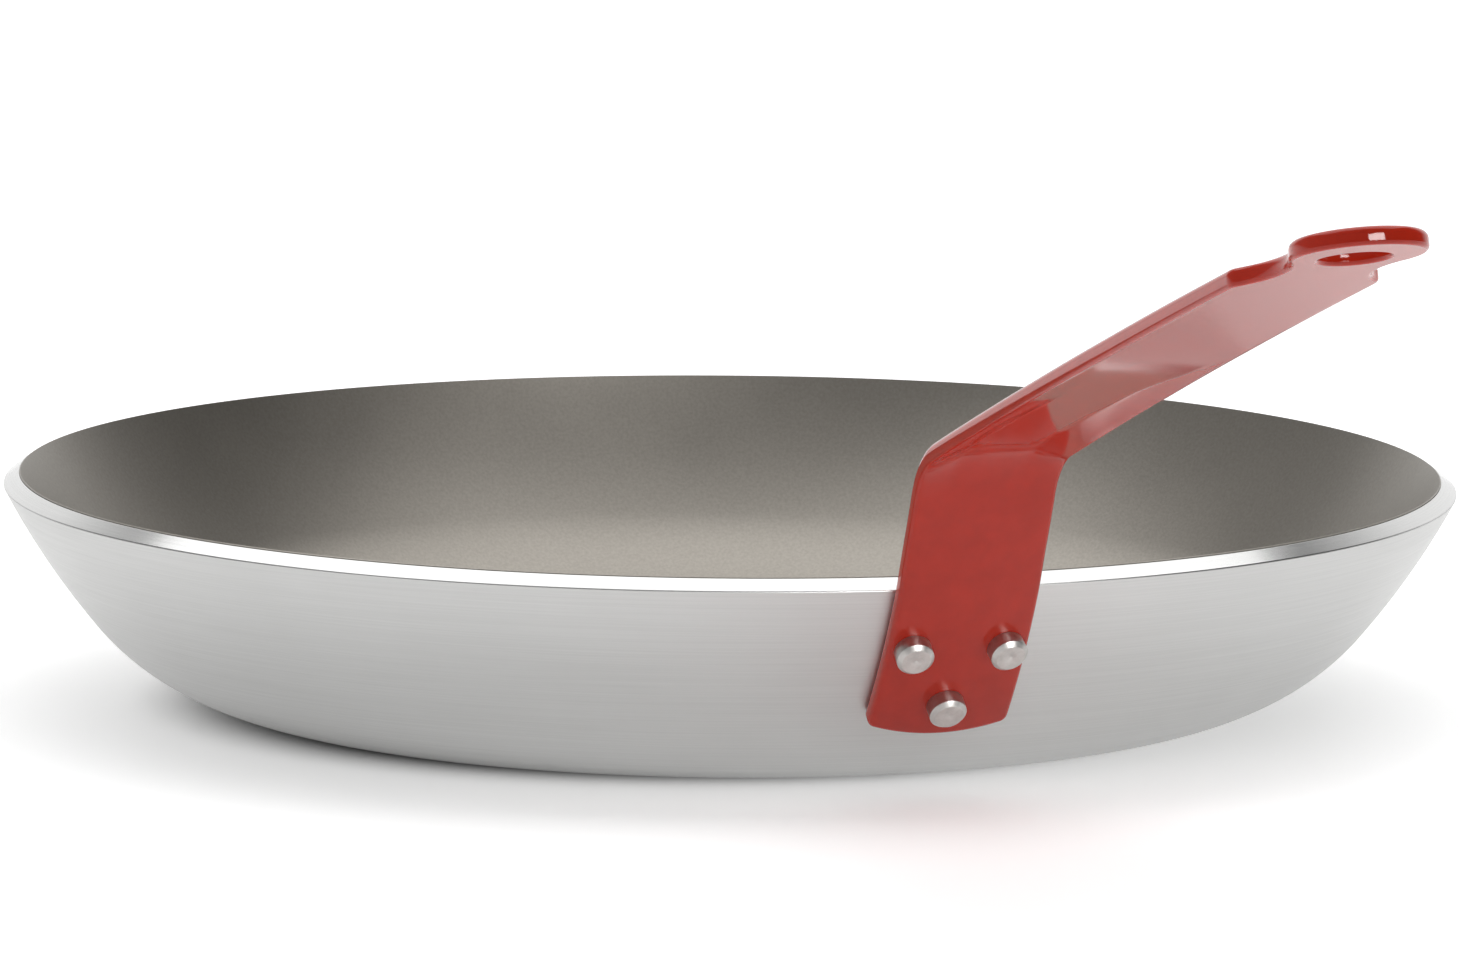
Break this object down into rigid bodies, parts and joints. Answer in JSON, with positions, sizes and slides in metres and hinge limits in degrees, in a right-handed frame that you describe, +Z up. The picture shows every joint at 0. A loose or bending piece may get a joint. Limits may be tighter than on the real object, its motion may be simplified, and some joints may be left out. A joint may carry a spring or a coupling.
{
  "type": "omelette pan",
  "caption": "Omelette pan: spun aluminium dish with a matte non-stick lining and a red formed steel strip handle, riveted to the wall, with a hanging eye at its end.",
  "frame": {"origin": "centre of the flat base, on the surface the pan stands on", "axes": "+X from the pan's centre out along the handle, +Z up, +Y to the left of the handle seen from its eye end"},
  "size_m": [0.5621, 0.32, 0.1541],
  "materials": {
    "aluminium_body": "fine circumferential brushing outside, machined bright rim",
    "nonstick_coating": "matte warm grey non-stick coating",
    "handle_paint": "glossy red epoxy coat on steel",
    "rivet_metal": "satin, formed heads"
  },
  "bodies": {
    "root": {"pan_body": "aluminium_body", "nonstick_lining": "nonstick_coating", "handle": "handle_paint", "rivet_upper_left": "rivet_metal", "rivet_upper_right": "rivet_metal", "rivet_lower": "rivet_metal"}
  },
  "joints": []
}
